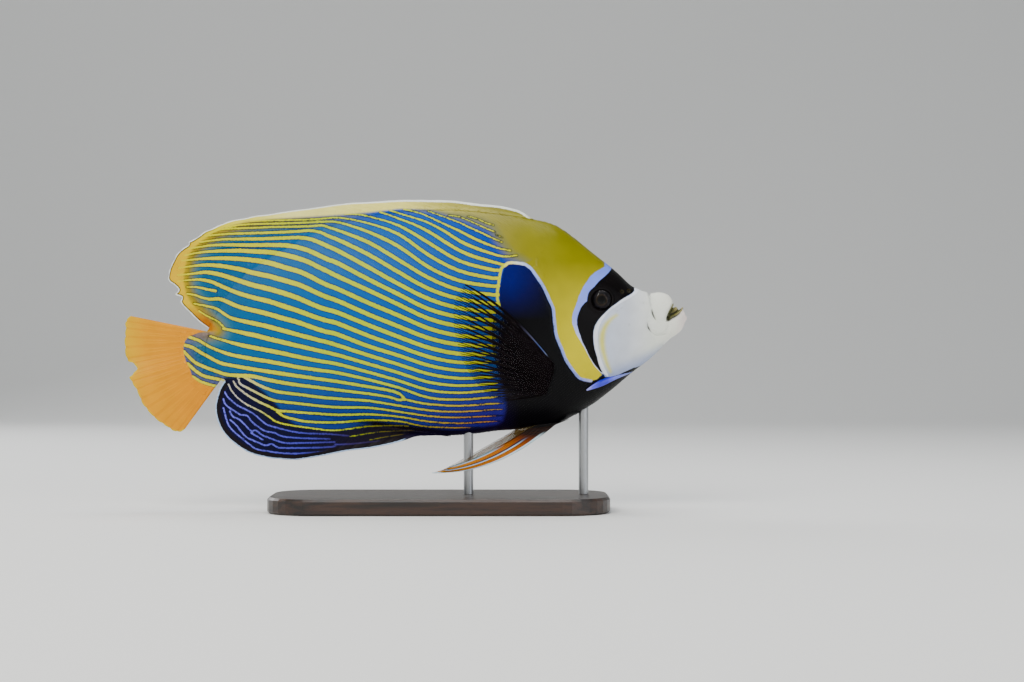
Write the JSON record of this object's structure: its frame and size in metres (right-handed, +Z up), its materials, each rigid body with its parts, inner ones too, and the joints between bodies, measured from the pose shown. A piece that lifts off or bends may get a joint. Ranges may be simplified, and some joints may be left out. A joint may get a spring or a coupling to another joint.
{
  "type": "emperor angelfish display model",
  "caption": "Still, life-size adult emperor angelfish, striped, with fins spread, held by two rods over a flat base.",
  "frame": {"origin": "middle of the whole model's length and width, on the underside of the stand's base", "axes": "+X towards the fish's mouth, +Y to its left side, +Z up"},
  "size_m": [0.3486, 0.096, 0.1925],
  "materials": {
    "face_skin": "grey-white skin of the face under a thin gloss",
    "lip_skin": "pale smooth lips with yellowish teeth",
    "flank_skin": "blue scales with yellow stripes, satin gloss",
    "gill_cover_skin": "near-black mask with a pale blue rim",
    "spine_enamel": "vivid blue, smooth and hard",
    "eye_gloss": "near-black, wet gloss",
    "dorsal_fin_skin": "yellow and blue stripes, white rim",
    "anal_fin_skin": "navy with fine violet lines, pale blue rim",
    "tail_fin_skin": "orange-yellow rays and membrane",
    "pectoral_fin_skin": "black rays on a thin clear membrane",
    "pelvic_fin_skin": "orange with pale blue rays",
    "dark_wood": "dark stained and waxed",
    "rod_steel": "brushed"
  },
  "bodies": {
    "root": {"head": "face_skin", "upper_jaw": "lip_skin", "lower_jaw": "lip_skin", "torso": "flank_skin", "tail_stalk": "flank_skin", "gill_cover_right": "gill_cover_skin", "gill_cover_left": "gill_cover_skin", "cheek_spine_right": "spine_enamel", "cheek_spine_left": "spine_enamel", "eye_right": "eye_gloss", "eye_left": "eye_gloss", "dorsal_fin": "dorsal_fin_skin", "anal_fin": "anal_fin_skin", "tail_fin": "tail_fin_skin", "pectoral_fin_right": "pectoral_fin_skin", "pectoral_fin_left": "pectoral_fin_skin", "pelvic_fin_right": "pelvic_fin_skin", "pelvic_fin_left": "pelvic_fin_skin", "stand_base": "dark_wood", "stand_rod_front": "rod_steel", "stand_rod_rear": "rod_steel"}
  },
  "joints": []
}
